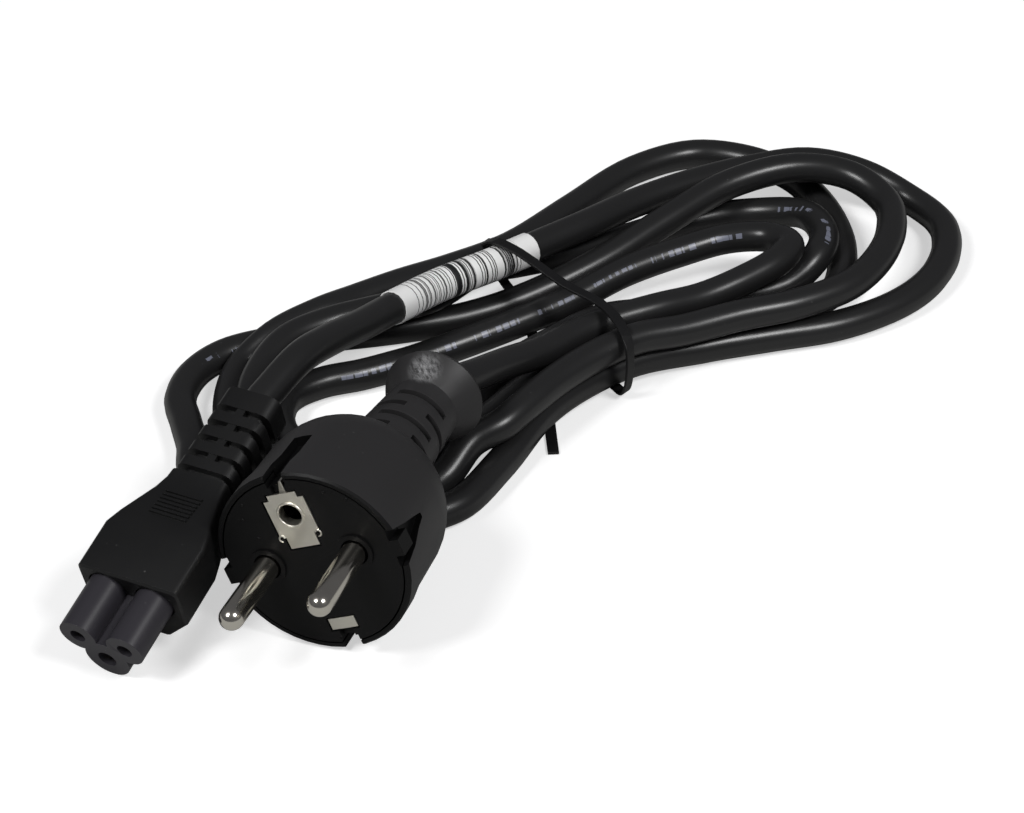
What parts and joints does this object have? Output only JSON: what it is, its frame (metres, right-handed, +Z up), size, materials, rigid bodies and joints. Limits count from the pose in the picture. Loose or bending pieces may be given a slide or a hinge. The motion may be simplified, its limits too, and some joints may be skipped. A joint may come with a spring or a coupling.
{
  "type": "power cord",
  "caption": "Cloverleaf appliance power cord: three-hole moulded connector and round two-pin earthed plug on a black lead, folded into a tied hank with a label",
  "frame": {"origin": "bottom centre of the box that holds the plug and the connector, on the surface the part lies on", "axes": "+Z is up from the surface; +X runs along the hank, away from the plug and the connector; +Y completes a right-handed frame, away from the plug's face"},
  "size_m": [0.223, 0.1612, 0.0388],
  "materials": {
    "plug_pvc": "satin dark grey overmoulded PVC",
    "pin_carrier": "hard black plastic",
    "nickel": "polished nickel plating on brass",
    "plated_strip": "plated stamped strip",
    "black_pvc": "matte black overmoulded PVC",
    "nose_insert": "hard dark grey plastic",
    "brass_contact": "bare sheet brass",
    "cord_pvc": "satin black PVC jacket",
    "label_film": null,
    "tie_plastic": "flat black plastic strip over a wire"
  },
  "bodies": {
    "root": {"plug_body": "plug_pvc", "plug_bridge": "pin_carrier", "pin_line": "nickel", "pin_neutral": "nickel", "earth_plate": "plated_strip", "earth_clip": "plated_strip", "connector_body": "black_pvc", "connector_nose": "nose_insert", "contact_line": "brass_contact", "contact_neutral": "brass_contact", "contact_earth": "brass_contact", "cord": "cord_pvc", "label_sleeve": "label_film", "twist_tie": "tie_plastic"}
  },
  "joints": []
}
